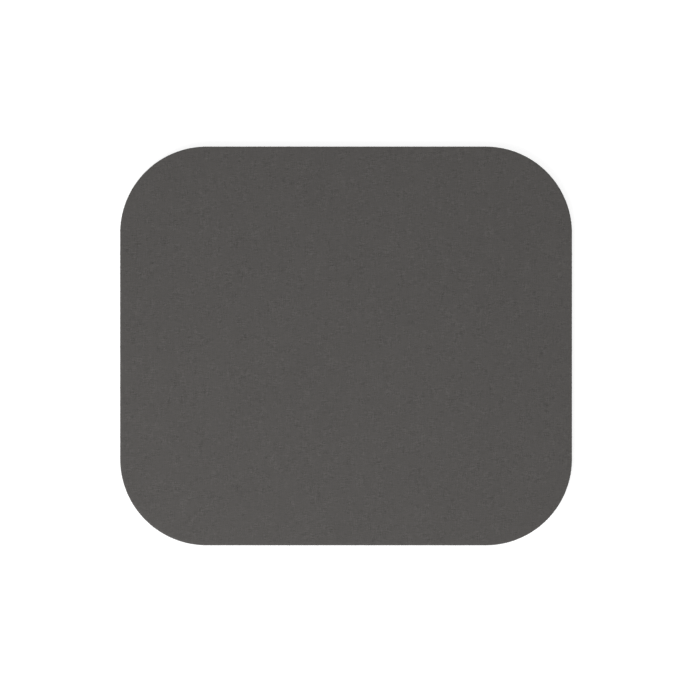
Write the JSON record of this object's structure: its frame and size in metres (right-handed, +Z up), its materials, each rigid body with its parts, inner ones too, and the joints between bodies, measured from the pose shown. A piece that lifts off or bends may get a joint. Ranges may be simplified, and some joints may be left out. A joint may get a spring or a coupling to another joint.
{
  "type": "mouse pad",
  "caption": "Flat mouse pad with broad rounded corners: plain woven cloth bonded to a sponge rubber base that has a moulded non-slip underside.",
  "frame": {"origin": "On the desk, under the middle of the pad", "axes": "+X to the user's right along the pad's longer side, +Y away from the user, +Z up out of the cloth"},
  "size_m": [0.23, 0.203, 0.006],
  "materials": {
    "woven_cloth": "matte",
    "melted_film": "satin",
    "sponge_rubber": "matte"
  },
  "bodies": {
    "root": {"cloth_top": "woven_cloth", "bonding_film": "melted_film", "foam_base": "sponge_rubber"}
  },
  "joints": []
}
